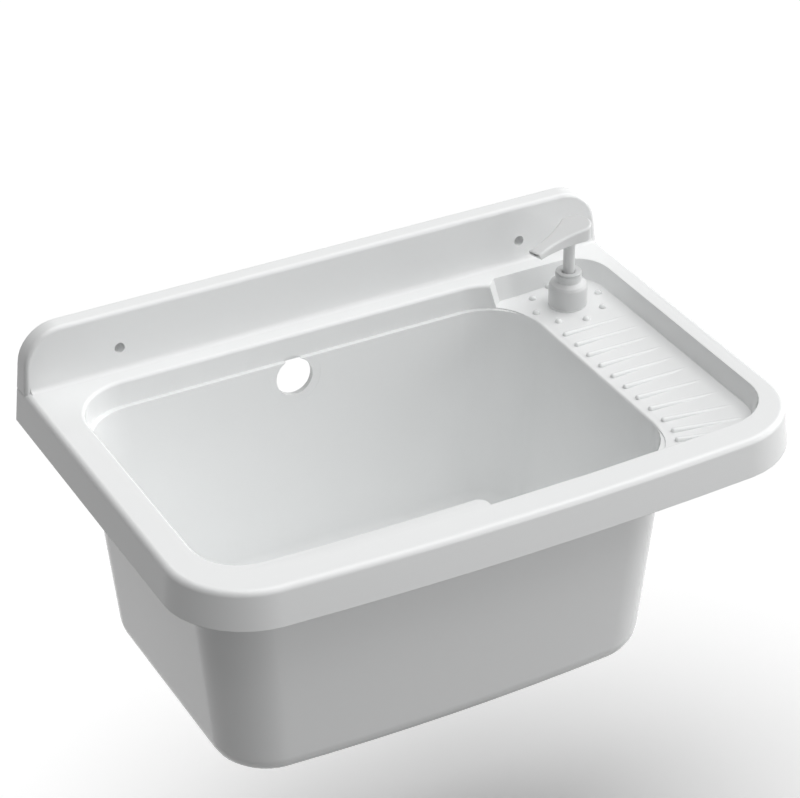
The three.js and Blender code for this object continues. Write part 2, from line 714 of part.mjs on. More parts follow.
function apronWebs() {
  const foot = RIM_FOOT_Z + WEB_LIFT;
  const top = -SHELL / 2;
  const webs = [];
  const across = (x, front, back) => webs.push(box(x - WEB / 2, x + WEB / 2, front, back, foot, top));
  const along = (y, left, right) => webs.push(box(left, right, y - WEB / 2, y + WEB / 2, foot, top));
  const run = DECK_RIGHT - BOWL_LEFT - RIM_CORNER_RADIUS;
  for (let k = 0; k < FRONT_WEBS; k++) {
    const x = BOWL_LEFT + RIM_CORNER_RADIUS / 2 + run * (k + 0.5) / FRONT_WEBS;
    across(x, -SINK_DEPTH, BOWL_FRONT + BOWL_CORNER_RADIUS / 2);
  }
  for (let k = 0; k < BACK_WEBS; k++) {
    across(BOWL_LEFT + BOWL_CORNER_RADIUS + (BOWL_RIGHT - BOWL_LEFT) * k / BACK_WEBS, BOWL_BACK - SHELL, 0);
  }
  for (let k = 0; k < SIDE_WEBS; k++) {
    const y = BOWL_BACK - BOWL_CORNER_RADIUS + (BOWL_FRONT - BOWL_BACK + 2 * BOWL_CORNER_RADIUS) * k / (SIDE_WEBS - 1);
    along(y, -SINK_WIDTH / 2, BOWL_LEFT + SHELL);
    along(y, DECK_RIGHT - SHELL, SINK_WIDTH / 2);
  }
  return webs;
}

// ---- Basin ----

function overflowCuts() {
  const z = -OVERFLOW_DEPTH;
  const innerFace = BOWL_BACK - BOWL_WALL + BOWL_FRONT_TAPER * (APRON_HEIGHT + z);
  const seat = innerFace + OVERFLOW_SEAT_DEPTH;
  return [
    crossBar(OVERFLOW_RADIUS, innerFace - 4 * OVERCUT, BOWL_BACK + 4 * OVERCUT, OVERFLOW_X, z, 40),
    crossBar(OVERFLOW_SEAT_RADIUS, innerFace - 4 * OVERCUT, seat, OVERFLOW_X, z, 40),
  ];
}

function basin() {
  const hollow = cut(rimHollow(), deckCasing(), mouthCasing(), bowlBlock(), ...apronWebs());
  const pumpBoss = bar(DISPENSER_BOSS_RADIUS, PUMP_BOSS_Z, PUMP_SEAT_Z - 1, PUMP_X, PUMP_Y);
  const pumpSeat = bar(PUMP_SEAT_RADIUS, PUMP_BOSS_Z + 1, PUMP_SEAT_Z, PUMP_X, PUMP_Y);
  const sumpPad = bar(SUMP_RADIUS + SUMP_WALL, SUMP_UNDERSIDE_Z, FLOOR_Z - BOWL_WALL / 2, WASTE_X, WASTE_Y, 40);
  const shell = cut(join(rimBlock(), splashBlock(), splashFootFillet(), bowlBlock(), sumpPad), hollow, deckRecess());
  const dressed = join(
    shell,
    deckSlab(),
    pumpBoss,
    pumpSeat,
    ...Array.from({ length: RIB_COUNT }, (_, k) => drainRib(k)),
    ...Array.from({ length: NUB_COUNT }, (_, k) => nub(k)),
  );
  return cut(
    dressed,
    splashHollow(),
    screwHole(-1),
    screwHole(1),
    lipRoll(),
    bowlMouth(),
    bowlCavity(),
    bar(SUMP_RADIUS, SUMP_Z, SUMP_EDGE_Z + OVERCUT, WASTE_X, WASTE_Y, 40),
    bar(WASTE_HOLE_RADIUS, SUMP_UNDERSIDE_Z - OVERCUT, SUMP_EDGE_Z, WASTE_X, WASTE_Y),
    ...overflowCuts(),
    bar(NECK_HOLE_RADIUS, PUMP_BOSS_Z - OVERCUT, PUMP_SEAT_Z + OVERCUT, PUMP_X, PUMP_Y),
  );
}

// ---- Waste, heights above the sump's floor ----

const FLANGE_UNDERSIDE = FLANGE_SEAL_THICKNESS + 2 * SEAT_GAP;
const BODY_TOP = -BOWL_WALL - BODY_SEAL_THICKNESS - 2 * SEAT_GAP;
const STRAINER_FLOOR = SUMP_DEPTH - STRAINER_DEPTH;
const CUP_BORE = STRAINER_RADIUS + 1.5;
const TAIL_TOP = BODY_TOP - WASTE_CUP_DEPTH - WASTE_FUNNEL_DEPTH;
const TAIL_END = TAIL_TOP - TAIL_LENGTH;
const SPIDER_TOP = STRAINER_FLOOR - STRAINER_PLATE - SEAT_GAP;

function ringSeal(inner, outer, bottom, thickness) {
  return turned([[inner, bottom], [outer, bottom], [outer, bottom + thickness], [inner, bottom + thickness]]);
}

function wasteStrainer() {
  const wall = 2;
  const body = turned([
    [WASTE_SCREW_RADIUS + SEAT_GAP, STRAINER_FLOOR - STRAINER_PLATE],
    [STRAINER_RADIUS, STRAINER_FLOOR - STRAINER_PLATE],
    [STRAINER_RADIUS, FLANGE_UNDERSIDE],
    [FLANGE_RADIUS, FLANGE_UNDERSIDE],
    [FLANGE_RADIUS, SUMP_DEPTH - 0.6],
    [FLANGE_RADIUS - 1, SUMP_DEPTH],
    [STRAINER_RADIUS + 2, SUMP_DEPTH - 0.8],
    [STRAINER_RADIUS - wall, SUMP_DEPTH - 3],
    [STRAINER_RADIUS - wall, STRAINER_FLOOR],
    [WASTE_SCREW_HEAD_RADIUS + 2, STRAINER_FLOOR],
    [WASTE_SCREW_HEAD_RADIUS, STRAINER_FLOOR + 1],
    [WASTE_SCREW_RADIUS + SEAT_GAP, STRAINER_FLOOR + 1],
  ], 40);
  const holes = Array.from({ length: STRAINER_HOLES }, (_, k) => {
    const angle = 2 * Math.PI * k / STRAINER_HOLES;
    const x = STRAINER_HOLE_CIRCLE * Math.cos(angle);
    const y = STRAINER_HOLE_CIRCLE * Math.sin(angle);
    return bar(STRAINER_HOLE_RADIUS, STRAINER_FLOOR - 2 * STRAINER_PLATE, STRAINER_FLOOR + 2, x, y, SMALL_ROUND);
  });
  return cut(body, ...holes);
}

function wasteBody() {
  const shell = turned([
    [CUP_BORE, BODY_TOP],
    [CUP_BORE, BODY_TOP - WASTE_CUP_DEPTH],
    [TAIL_BORE, TAIL_TOP],
    [TAIL_BORE, TAIL_END],
    [TAIL_RADIUS, TAIL_END],
    [TAIL_RADIUS, TAIL_TOP - 1],
    [CUP_BORE + WASTE_WALL, BODY_TOP - WASTE_CUP_DEPTH - 1],
    [CUP_BORE + WASTE_WALL, BODY_TOP - 3],
    [FLANGE_RADIUS - 1, BODY_TOP - 3],
    [FLANGE_RADIUS - 1, BODY_TOP],
  ], 40);
  const arms = [0, 1, 2].map((k) => {
    const reach = CUP_BORE + WASTE_WALL / 2;
    const arm = new THREE.BoxGeometry(reach, SPIDER_ARM, SPIDER_HEIGHT);
    arm.translate(reach / 2, 0, SPIDER_TOP - SPIDER_HEIGHT / 2);
    arm.rotateZ(2 * Math.PI * k / 3 + Math.PI / 6);
    return solid(arm);
  });
  const boss = bar(SPIDER_BOSS_RADIUS, SPIDER_TOP - SPIDER_HEIGHT, SPIDER_TOP, 0, 0, SMALL_ROUND);
  const hole = bar(WASTE_SCREW_RADIUS + SEAT_GAP, SPIDER_TOP - SPIDER_HEIGHT - 1, SPIDER_TOP + 1, 0, 0, SMALL_ROUND);
  const open = bar(TAIL_BORE, TAIL_END - 1, SPIDER_TOP - SPIDER_HEIGHT - 1, 0, 0, 40);
  return cut(join(shell, ...arms, boss), hole, open);
}

function wasteScrew() {
  const seat = STRAINER_FLOOR + 1 + SEAT_GAP;
  const head = turned([
    [0, seat],
    [WASTE_SCREW_HEAD_RADIUS - 0.6, seat],
    [WASTE_SCREW_HEAD_RADIUS, seat + 1],
    [WASTE_SCREW_HEAD_RADIUS - 1.4, seat + WASTE_SCREW_HEAD_HEIGHT],
    [0, seat + WASTE_SCREW_HEAD_HEIGHT],
  ], SMALL_ROUND);
  const shank = bar(WASTE_SCREW_RADIUS, seat - WASTE_SCREW_LENGTH, seat + 1, 0, 0, SMALL_ROUND);
  const top = seat + WASTE_SCREW_HEAD_HEIGHT;
  const slot = box(-WASTE_SCREW_HEAD_RADIUS, WASTE_SCREW_HEAD_RADIUS, -0.6, 0.6, top - 1.4, top + 1);
  return cut(join(head, shank), slot);
}

const WASHER_TOP = TAIL_END - SEAT_GAP;
const LIP_TOP = WASHER_TOP - OUTLET_WASHER_THICKNESS - SEAT_GAP;

function outletWasher() {
  const inner = TAIL_BORE + 0.8;
  const outer = TAIL_RADIUS - SEAT_GAP;
  return turned([
    [inner, LIP_TOP + SEAT_GAP],
    [outer - 1.5, LIP_TOP + SEAT_GAP],
    [outer, WASHER_TOP],
    [inner, WASHER_TOP],
  ]);
}

function outletNut() {
  const bottom = LIP_TOP - NUT_LIP;
  const bore = TAIL_RADIUS + SEAT_GAP;
  const body = turned([
    [bore - 2.5, bottom],
    [NUT_RADIUS - 1.5, bottom],
    [NUT_RADIUS, bottom + 1.5],
    [NUT_RADIUS, bottom + NUT_HEIGHT - 2],
    [NUT_RADIUS - 2, bottom + NUT_HEIGHT],
    [bore, bottom + NUT_HEIGHT],
    [bore, LIP_TOP],
    [bore - 2.5, LIP_TOP],
  ], 36);
  const grips = Array.from({ length: NUT_GRIPS }, (_, k) => {
    const angle = 2 * Math.PI * (k + 0.5) / NUT_GRIPS;
    const x = (NUT_RADIUS + 0.3) * Math.cos(angle);
    return bar(NUT_GRIP_RADIUS, bottom - 1, bottom + NUT_HEIGHT + 1, x, (NUT_RADIUS + 0.3) * Math.sin(angle), 8);
  });
  return cut(body, ...grips);
}

// ---- Soap dispenser, heights above its seat ----

const COLLAR_UNDER_WEB = NECK_TOP_HEIGHT + CHAMBER_SEAL_THICKNESS + CHAMBER_FLANGE + 3 * SEAT_GAP;
const CHAMBER_SEAT = NECK_TOP_HEIGHT + CHAMBER_SEAL_THICKNESS + 2 * SEAT_GAP;
const SPIGOT_BORE = BUSH_SPIGOT_RADIUS + SEAT_GAP;
const CHAMBER_STEP = BUSH_FOOT_HEIGHT - SEAT_GAP;
const BOTTLE_TOP = -DISPENSER_BOSS_DEPTH - BOTTLE_SEAL_THICKNESS - 2 * SEAT_GAP;
const BOTTLE_FOOT = BOTTLE_TOP - BOTTLE_HEIGHT;
const PISTON_TOP_HEIGHT = BUSH_FOOT_HEIGHT - SEAT_GAP;
const PISTON_FOOT = PISTON_TOP_HEIGHT - PISTON_LENGTH;
const POCKET_TOP = CHAMBER_FOOT_HEIGHT - BALL_STOP_THICKNESS;
const BALL_CENTRE = POCKET_TOP - BALL_LIFT - BALL_RADIUS;
const BALL_POCKET = BALL_RADIUS + SLIDE_GAP;
const POCKET_FOOT = BALL_CENTRE - Math.sqrt(BALL_RADIUS ** 2 - BALL_SEAT_RADIUS ** 2) - SEAT_GAP;
const TUBE_SOCKET = DIP_TUBE_RADIUS + SEAT_GAP;

function pumpCollar() {
  const bore = NECK_RADIUS + SEAT_GAP;
  const shoulder = quarter(1, EDGE_STEPS).map(({ inset, rise }) => [
    COLLAR_RADIUS - (COLLAR_RADIUS - COLLAR_SHOULDER_RADIUS) * inset,
    COLLAR_SIDE_HEIGHT + (COLLAR_SHOULDER_HEIGHT - COLLAR_SIDE_HEIGHT) * rise,
  ]);
  return turned([
    [bore, SEAT_GAP],
    [COLLAR_RADIUS, SEAT_GAP],
    ...shoulder,
    [COLLAR_NECK_RADIUS, COLLAR_TIER_HEIGHT],
    [COLLAR_NECK_RADIUS, COLLAR_HEIGHT],
    [SPIGOT_BORE, COLLAR_HEIGHT],
    [SPIGOT_BORE, COLLAR_UNDER_WEB],
    [bore, COLLAR_UNDER_WEB],
  ]);
}

function guideBush() {
  const rim = COLLAR_HEIGHT + SEAT_GAP;
  const bore = STEM_RADIUS + SLIDE_GAP;
  return turned([
    [bore, BUSH_FOOT_HEIGHT],
    [BUSH_SPIGOT_RADIUS, BUSH_FOOT_HEIGHT],
    [BUSH_SPIGOT_RADIUS, rim],
    [BUSH_RADIUS, rim],
    [BUSH_RADIUS, rim + BUSH_RIM - 0.4],
    [BUSH_RADIUS - 0.4, rim + BUSH_RIM],
    [bore + 1.2, rim + BUSH_RIM],
    [bore, rim + BUSH_RIM - 1],
  ]);
}

function soapBottle() {
  const foot = BOTTLE_FOOT;
  const round = quarter(BOTTLE_SHOULDER_RADIUS, 3);
  const outside = [
    [0, foot + 1.5],
    [BOTTLE_RADIUS * 0.55, foot + 1.5],
    [BOTTLE_RADIUS * 0.7, foot],
    [BOTTLE_RADIUS - 3, foot],
    [BOTTLE_RADIUS, foot + 3],
    ...round.map(({ inset, rise }) => [BOTTLE_RADIUS - inset, BOTTLE_TOP - BOTTLE_SHOULDER_RADIUS + rise]),
    [NECK_RADIUS, BOTTLE_TOP],
    [NECK_RADIUS, NECK_TOP_HEIGHT],
  ];
  const inside = [
    [NECK_BORE, NECK_TOP_HEIGHT],
    [NECK_BORE, BOTTLE_TOP - BOTTLE_WALL - 1],
    [BOTTLE_RADIUS - BOTTLE_SHOULDER_RADIUS, BOTTLE_TOP - BOTTLE_WALL - 1],
    [BOTTLE_RADIUS - BOTTLE_WALL, BOTTLE_TOP - BOTTLE_SHOULDER_RADIUS - 1],
    [BOTTLE_RADIUS - BOTTLE_WALL, foot + 4],
    [BOTTLE_RADIUS - BOTTLE_WALL - 2.5, foot + BOTTLE_WALL],
    [BOTTLE_RADIUS * 0.7, foot + BOTTLE_WALL],
    [BOTTLE_RADIUS * 0.5, foot + BOTTLE_WALL + 1.5],
    [0, foot + BOTTLE_WALL + 1.5],
  ];
  return turned([...outside, ...inside]);
}

function pumpChamber() {
  const outer = CHAMBER_RADIUS + CHAMBER_WALL;
  const cup = SPIGOT_BORE + CHAMBER_WALL;
  const tubeTop = POCKET_FOOT - 2;
  return turned([
    [SPIGOT_BORE, CHAMBER_SEAT + CHAMBER_FLANGE],
    [SPIGOT_BORE, CHAMBER_STEP],
    [CHAMBER_RADIUS, CHAMBER_STEP],
    [CHAMBER_RADIUS, CHAMBER_FOOT_HEIGHT],
    [BALL_STOP_RADIUS, CHAMBER_FOOT_HEIGHT],
    [BALL_STOP_RADIUS, POCKET_TOP],
    [BALL_POCKET, POCKET_TOP],
    [BALL_POCKET, BALL_CENTRE],
    [BALL_SEAT_RADIUS, POCKET_FOOT],
    [BALL_SEAT_RADIUS, tubeTop],
    [TUBE_SOCKET, tubeTop],
    [TUBE_SOCKET, tubeTop - CHAMBER_SOCKET_LENGTH],
    [TUBE_SOCKET + CHAMBER_WALL, tubeTop - CHAMBER_SOCKET_LENGTH],
    [TUBE_SOCKET + CHAMBER_WALL, tubeTop],
    [BALL_POCKET + CHAMBER_WALL, POCKET_FOOT + 1],
    [BALL_POCKET + CHAMBER_WALL, CHAMBER_FOOT_HEIGHT - 1.5],
    [outer, CHAMBER_FOOT_HEIGHT],
    [outer, CHAMBER_STEP - 1.5],
    [cup, CHAMBER_STEP],
    [cup, CHAMBER_SEAT],
    [CHAMBER_FLANGE_RADIUS, CHAMBER_SEAT],
    [CHAMBER_FLANGE_RADIUS, CHAMBER_SEAT + CHAMBER_FLANGE],
  ], 24);
}

function pumpStem() {
  const shoulder = PISTON_TOP_HEIGHT + SEAT_GAP;
  return turned([
    [STEM_BORE, shoulder - STEM_SPIGOT_LENGTH],
    [STEM_SPIGOT_RADIUS, shoulder - STEM_SPIGOT_LENGTH],
    [STEM_SPIGOT_RADIUS, shoulder],
    [STEM_RADIUS, shoulder],
    [STEM_RADIUS, STEM_TOP_HEIGHT],
    [STEM_BORE, STEM_TOP_HEIGHT],
  ], 24);
}

function pumpPiston() {
  const outer = CHAMBER_RADIUS - SLIDE_GAP;
  const bore = STEM_SPIGOT_RADIUS + SLIDE_GAP;
  const waist = outer - 0.8;
  return turned([
    [bore, PISTON_FOOT],
    [outer, PISTON_FOOT],
    [outer, PISTON_FOOT + 2.5],
    [waist, PISTON_FOOT + 3.5],
    [waist, PISTON_TOP_HEIGHT - 3.5],
    [outer, PISTON_TOP_HEIGHT - 2.5],
    [outer, PISTON_TOP_HEIGHT],
    [bore, PISTON_TOP_HEIGHT],
  ], 24);
}

// A closed wire of round section wound into a compression spring.
function returnSpring() {
  const bottom = CHAMBER_FOOT_HEIGHT + SEAT_GAP + SPRING_WIRE_RADIUS;
  const top = PISTON_FOOT - SEAT_GAP - SPRING_WIRE_RADIUS;
  const sides = 6;
  const steps = SPRING_TURNS * 12;
  const rise = top - bottom;
  const lean = Math.atan(rise / (2 * Math.PI * SPRING_RADIUS * SPRING_TURNS));
  const rings = Array.from({ length: steps + 1 }, (_, k) => {
    const turn = 2 * Math.PI * SPRING_TURNS * k / steps;
    const centre = new THREE.Vector3(
      SPRING_RADIUS * Math.cos(turn), SPRING_RADIUS * Math.sin(turn), bottom + rise * k / steps);
    const out = new THREE.Vector3(Math.cos(turn), Math.sin(turn), 0);
    const up = new THREE.Vector3(
      Math.sin(turn) * Math.sin(lean), -Math.cos(turn) * Math.sin(lean), Math.cos(lean));
    return Array.from({ length: sides }, (_, i) => {
      const angle = 2 * Math.PI * i / sides;
      return centre.clone()
        .addScaledVector(out, -SPRING_WIRE_RADIUS * Math.cos(angle))
        .addScaledVector(up, SPRING_WIRE_RADIUS * Math.sin(angle));
    });
  });
  return wire(rings);
}

// Skins rings along a wire and closes both ends with a fan.
function wire(rings) {
  const sides = rings[0].length;
  const positions = rings.flat().flatMap((p) => [p.x, p.y, p.z]);
  const faces = [];
  for (let k = 0; k < rings.length - 1; k++) {
    for (let i = 0; i < sides; i++) {
      const a = k * sides + i;
      const b = k * sides + (i + 1) % sides;
      faces.push(a, b, b + sides, a, b + sides, a + sides);
    }
  }
  const last = (rings.length - 1) * sides;
  for (let i = 1; i < sides - 1; i++) {
    faces.push(0, i + 1, i, last, last + i, last + i + 1);
  }
  const geometry = new THREE.BufferGeometry();
  geometry.setAttribute('position', new THREE.Float32BufferAttribute(positions, 3));
  geometry.setIndex(faces);
  return geometry;
}

function inletBall() {
  const geometry = new THREE.SphereGeometry(BALL_RADIUS, 14, 9);
  geometry.rotateX(Math.PI / 2);
  geometry.translate(0, 0, BALL_CENTRE);
  return geometry;
}

function dipTube() {
  const top = POCKET_FOOT - 2 - SEAT_GAP;
  const bottom = BOTTLE_FOOT + BOTTLE_WALL + 1.5 + SEAT_GAP;
  return turned([
    [DIP_TUBE_BORE, bottom],
    [DIP_TUBE_RADIUS, bottom],
    [DIP_TUBE_RADIUS, top],
    [DIP_TUBE_BORE, top],
  ], 12);
}

// ---- Pump head, nozzle along +X ----

function headOutline(inset, heightAt) {
  const reach = HEAD_REACH - inset;
  const rear = HEAD_REAR_RADIUS - inset;
  const steps = 6;
  const side = [];
  for (let k = 0; k <= steps; k++) {
    const t = k / steps;
    const wide = HEAD_MOUTH_HALF_WIDTH * (1 - t) * (1 - 2 * t)
      + HEAD_WAIST_HALF_WIDTH * 4 * t * (1 - t) + HEAD_REAR_RADIUS * t * (2 * t - 1);
    side.push(new THREE.Vector2(THREE.MathUtils.lerp(reach, -HEAD_REAR_OFFSET, t), wide - inset));
  }
  const rim = [];
  for (let k = 1; k < 12; k++) {
    const angle = Math.PI / 2 + Math.PI * k / 12;
    rim.push(new THREE.Vector2(rear * Math.cos(angle) - HEAD_REAR_OFFSET, rear * Math.sin(angle)));
  }
  const other = side.map((p) => new THREE.Vector2(p.x, -p.y)).reverse();
  return [...side, ...rim, ...other].map((p) => new THREE.Vector3(p.x, p.y, heightAt(p.x)));
}

function pumpHead() {
  const under = HEAD_UNDERSIDE_HEIGHT;
  const rearX = -HEAD_REAR_OFFSET - HEAD_REAR_RADIUS;
  const topAt = (x) => under + THREE.MathUtils.mapLinear(
    x, rearX, HEAD_REACH, HEAD_REAR_THICKNESS, HEAD_MOUTH_THICKNESS);
  const edge = quarter(HEAD_EDGE_RADIUS, EDGE_STEPS);
  const block = solid(loft([
    headOutline(0.5, () => under),
    headOutline(0, () => under + 0.5),
    ...edge.map(({ inset, rise }) => headOutline(inset, (x) => topAt(x) - HEAD_EDGE_RADIUS + rise)),
  ]));
  const socket = bar(STEM_RADIUS + SEAT_GAP, under - 1, under + HEAD_SOCKET_DEPTH, 0, 0, 24);
  const slitTop = under + HEAD_MOUTH_THICKNESS - MOUTH_LIP;
  const slit = box(
    HEAD_REACH - MOUTH_SLIT_DEPTH, HEAD_REACH + 1, -MOUTH_SLIT_WIDTH / 2, MOUTH_SLIT_WIDTH / 2,
    slitTop - MOUTH_SLIT_HEIGHT, slitTop);
  const channel = new THREE.CylinderGeometry(HEAD_CHANNEL_RADIUS, HEAD_CHANNEL_RADIUS, HEAD_REACH - 1, 12);
  channel.rotateZ(Math.PI / 2);
  channel.translate((HEAD_REACH - 1) / 2, 0, slitTop - MOUTH_SLIT_HEIGHT / 2);
  return cut(block, socket, slit, solid(channel));
}

// ---- Assembly ----

function piece(name, shape, finish) {
  const geometry = shape instanceof THREE.BufferGeometry ? shape : surface(shape);
  const mesh = new THREE.Mesh(geometry, finishes[finish]());
  mesh.name = name;
  return mesh;
}

function wasteSet() {
  const group = new THREE.Group();
  group.position.set(WASTE_X, WASTE_Y, SUMP_Z);
  const sealInner = WASTE_HOLE_RADIUS + 1;
  group.add(
    piece('waste_strainer', wasteStrainer(), 'basin'),
    piece('flange_seal', ringSeal(sealInner, FLANGE_RADIUS - 1, SEAT_GAP, FLANGE_SEAL_THICKNESS), 'rubber'),
    piece('body_seal', ringSeal(sealInner, FLANGE_RADIUS - 1, BODY_TOP + SEAT_GAP, BODY_SEAL_THICKNESS), 'rubber'),
    piece('waste_body', wasteBody(), 'basin'),
    piece('waste_screw', wasteScrew(), 'steel'),
    piece('outlet_washer', outletWasher(), 'rubber'),
    piece('outlet_nut', outletNut(), 'basin'),
  );
  return group;
}

function dispenser() {
  const group = new THREE.Group();
  group.position.set(PUMP_X, PUMP_Y, PUMP_SEAT_Z);
  const sealFoot = BOTTLE_TOP + SEAT_GAP;
  const head = piece('pump_head', pumpHead(), 'pump');
  head.rotation.z = THREE.MathUtils.degToRad(HEAD_TURN);
  group.add(
    piece('pump_collar', pumpCollar(), 'pump'),
    piece('guide_bush', guideBush(), 'pump'),
    piece('soap_bottle', soapBottle(), 'natural'),
    piece('bottle_seal', ringSeal(NECK_HOLE_RADIUS, BOTTLE_SEAL_RADIUS, sealFoot, BOTTLE_SEAL_THICKNESS), 'rubber'),
    piece('chamber_seal', ringSeal(NECK_BORE + 0.2, NECK_RADIUS - 0.4, NECK_TOP_HEIGHT + SEAT_GAP,
      CHAMBER_SEAL_THICKNESS), 'rubber'),
    piece('pump_chamber', pumpChamber(), 'natural'),
    piece('pump_stem', pumpStem(), 'pump'),
    piece('pump_piston', pumpPiston(), 'natural'),
    piece('return_spring', returnSpring(), 'steel'),
    piece('inlet_ball', inletBall(), 'steel'),
    piece('dip_tube', dipTube(), 'natural'),
    head,
  );
  return group;
}

const sink = new THREE.Group();
sink.add(piece('basin', basin(), 'basin'), wasteSet(), dispenser());

export default sink;
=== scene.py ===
"""A wall-hung laundry sink with a soap pump, dressed and lit as in a plain studio."""

import logging
import math
from dataclasses import dataclass
from enum import Enum
from typing import Callable

import bmesh
import bpy
from mathutils import Matrix, Vector


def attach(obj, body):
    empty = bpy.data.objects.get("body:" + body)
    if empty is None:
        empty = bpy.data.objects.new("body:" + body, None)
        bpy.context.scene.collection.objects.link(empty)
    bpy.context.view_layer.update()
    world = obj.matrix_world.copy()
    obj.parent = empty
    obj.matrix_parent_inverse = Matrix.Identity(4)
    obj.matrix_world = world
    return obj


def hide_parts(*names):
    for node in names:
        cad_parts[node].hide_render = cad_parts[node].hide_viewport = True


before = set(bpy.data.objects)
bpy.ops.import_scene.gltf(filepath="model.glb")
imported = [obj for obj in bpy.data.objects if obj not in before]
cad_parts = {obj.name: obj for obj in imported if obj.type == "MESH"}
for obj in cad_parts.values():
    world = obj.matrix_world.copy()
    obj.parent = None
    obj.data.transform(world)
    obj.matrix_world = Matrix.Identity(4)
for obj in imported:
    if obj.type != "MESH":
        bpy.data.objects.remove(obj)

log = logging.getLogger("laundry_sink")
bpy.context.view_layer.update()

MM = 0.001
WHITE = (1, 1, 1, 1)
WELD = 1e-6  # metres: the frame's loose triangles share points that are nearer than this
CLOSE = 2e-5  # metres: the same for a mesh whose points were moved
NEARLY_ZERO = 1e-7  # metres
FLAT_ANGLE = 0.4  # degrees between two triangles of one flat face
CREASE_ANGLE = 40  # degrees between two faces, past which the edge stays sharp
# The tiers of these two turned pieces meet at shallower edges, which stay sharp too.
NODE_CREASES = {"pump_collar": 16, "guide_bush": 16}
SKIN_NORMAL_WEIGHT = 70  # of 100: how far large faces rule the shading of a new piece
NODE_NORMAL_WEIGHT = 100  # the same for a carried-over node
BALL_SEGMENTS = 40
BALL_RINGS = 24

# The curve that turns an sRGB value to a linear one.
SRGB_KNEE = 0.04045
SRGB_SLOPE = 12.92
SRGB_OFFSET = 0.055
SRGB_POWER = 2.4


class Finish(Enum):
    """The named finishes, one for each real material."""

    BASIN = "polypropylene_moulded_gloss"
    PUMP = "polypropylene_moulded_satin"
    NATURAL = "polyethylene_blown_natural"
    RUBBER = "nitrile_moulded"
    STEEL = "stainless_turned"


Materials = dict[Finish, bpy.types.Material]

NODE_FINISH: dict[str, Finish] = {
    "basin": Finish.BASIN,
    "waste_strainer": Finish.BASIN,
    "waste_body": Finish.BASIN,
    "outlet_nut": Finish.BASIN,
    "flange_seal": Finish.RUBBER,
    "body_seal": Finish.RUBBER,
    "outlet_washer": Finish.RUBBER,
    "bottle_seal": Finish.RUBBER,
    "chamber_seal": Finish.RUBBER,
    "waste_screw": Finish.STEEL,
    "return_spring": Finish.STEEL,
    "inlet_ball": Finish.STEEL,
    "pump_collar": Finish.PUMP,
    "guide_bush": Finish.PUMP,
    "pump_stem": Finish.PUMP,
    "pump_head": Finish.PUMP,
    "soap_bottle": Finish.NATURAL,
    "pump_chamber": Finish.NATURAL,
    "pump_piston": Finish.NATURAL,
    "dip_tube": Finish.NATURAL,
}

# The body that each replaced node's new piece rides on.
BODIES: dict[str, str] = {"basin": "sink", "pump_head": "head"}


def linear(hex_colour: str) -> tuple[float, float, float, float]:
    """Turns an sRGB colour into the linear values that shaders use.

    Args:
        hex_colour: Six hex digits.

    Returns:
        Linear red, green, blue and an alpha of 1.
    """
    channels = [int(hex_colour[i : i + 2], 16) / 255 for i in (0, 2, 4)]
    red, green, blue = (
        c / SRGB_SLOPE if c <= SRGB_KNEE else ((c + SRGB_OFFSET) / (1 + SRGB_OFFSET)) ** SRGB_POWER
        for c in channels
    )
    return red, green, blue, 1.0


def add_node(
    tree: bpy.types.NodeTree,
    kind: str,
    settings: dict | None = None,
    inputs: dict | None = None,
    links: dict | None = None,
) -> bpy.types.Node:
    """Adds one node with its settings, input values and incoming links.

    Args:
        tree: The node tree.
        kind: The node's type name.
        settings: Attributes set on the node.
        inputs: Values by input name or index.
        links: Output sockets by input name or index.

    Returns:
        The new node.
    """
    node = tree.nodes.new(kind)
    for name, value in (settings or {}).items():
        setattr(node, name, value)
    for name, value in (inputs or {}).items():
        node.inputs[name].default_value = value
    for name, socket in (links or {}).items():
        tree.links.new(socket, node.inputs[name])
    return node


@dataclass(frozen=True)
class Plastic:
    """A moulded plastic with a faint ripple left by the mould's face."""

    name: str
    colour: str
    roughness: float
    ripple_mm: float
    ripple_height_mm: float
    ripple_detail: float = 1.0
    ripple_roughness: float = 0.4
    edge_mm: float = 0.6
    edge_samples: int = 6
    ior: float = 1.49

    def build(self) -> bpy.types.Material:
        """Makes the material.

        Returns:
            The new material.
        """
        material = bpy.data.materials.new(self.name)
        material.use_nodes = True
        tree = material.node_tree
        tree.nodes.clear()
        position = add_node(tree, "ShaderNodeTexCoord")
        # The slow ripple bends highlights a little, as a moulded face does.
        ripple = add_node(
            tree,
            "ShaderNodeTexNoise",
            inputs={
                "Scale": 1 / (self.ripple_mm * MM),
                "Detail": self.ripple_detail,
                "Roughness": self.ripple_roughness,
            },
            links={"Vector": position.outputs["Object"]},
        )
        # A moulded edge is never quite sharp: the mould's own corners leave this radius.
        edge = add_node(
            tree,
            "ShaderNodeBevel",
            {"samples": self.edge_samples},
            {"Radius": self.edge_mm * MM},
        )
        bump = add_node(
            tree,
            "ShaderNodeBump",
            inputs={"Strength": 1.0, "Distance": self.ripple_height_mm * MM},
            links={"Height": ripple.outputs["Fac"], "Normal": edge.outputs["Normal"]},
        )
        shader = add_node(
            tree,
            "ShaderNodeBsdfPrincipled",
            inputs={
                "Base Color": linear(self.colour),
                "Roughness": self.roughness,
                "IOR": self.ior,
            },
            links={"Normal": bump.outputs["Normal"]},
        )
        add_node(tree, "ShaderNodeOutputMaterial", links={"Surface": shader.outputs["BSDF"]})
        return material


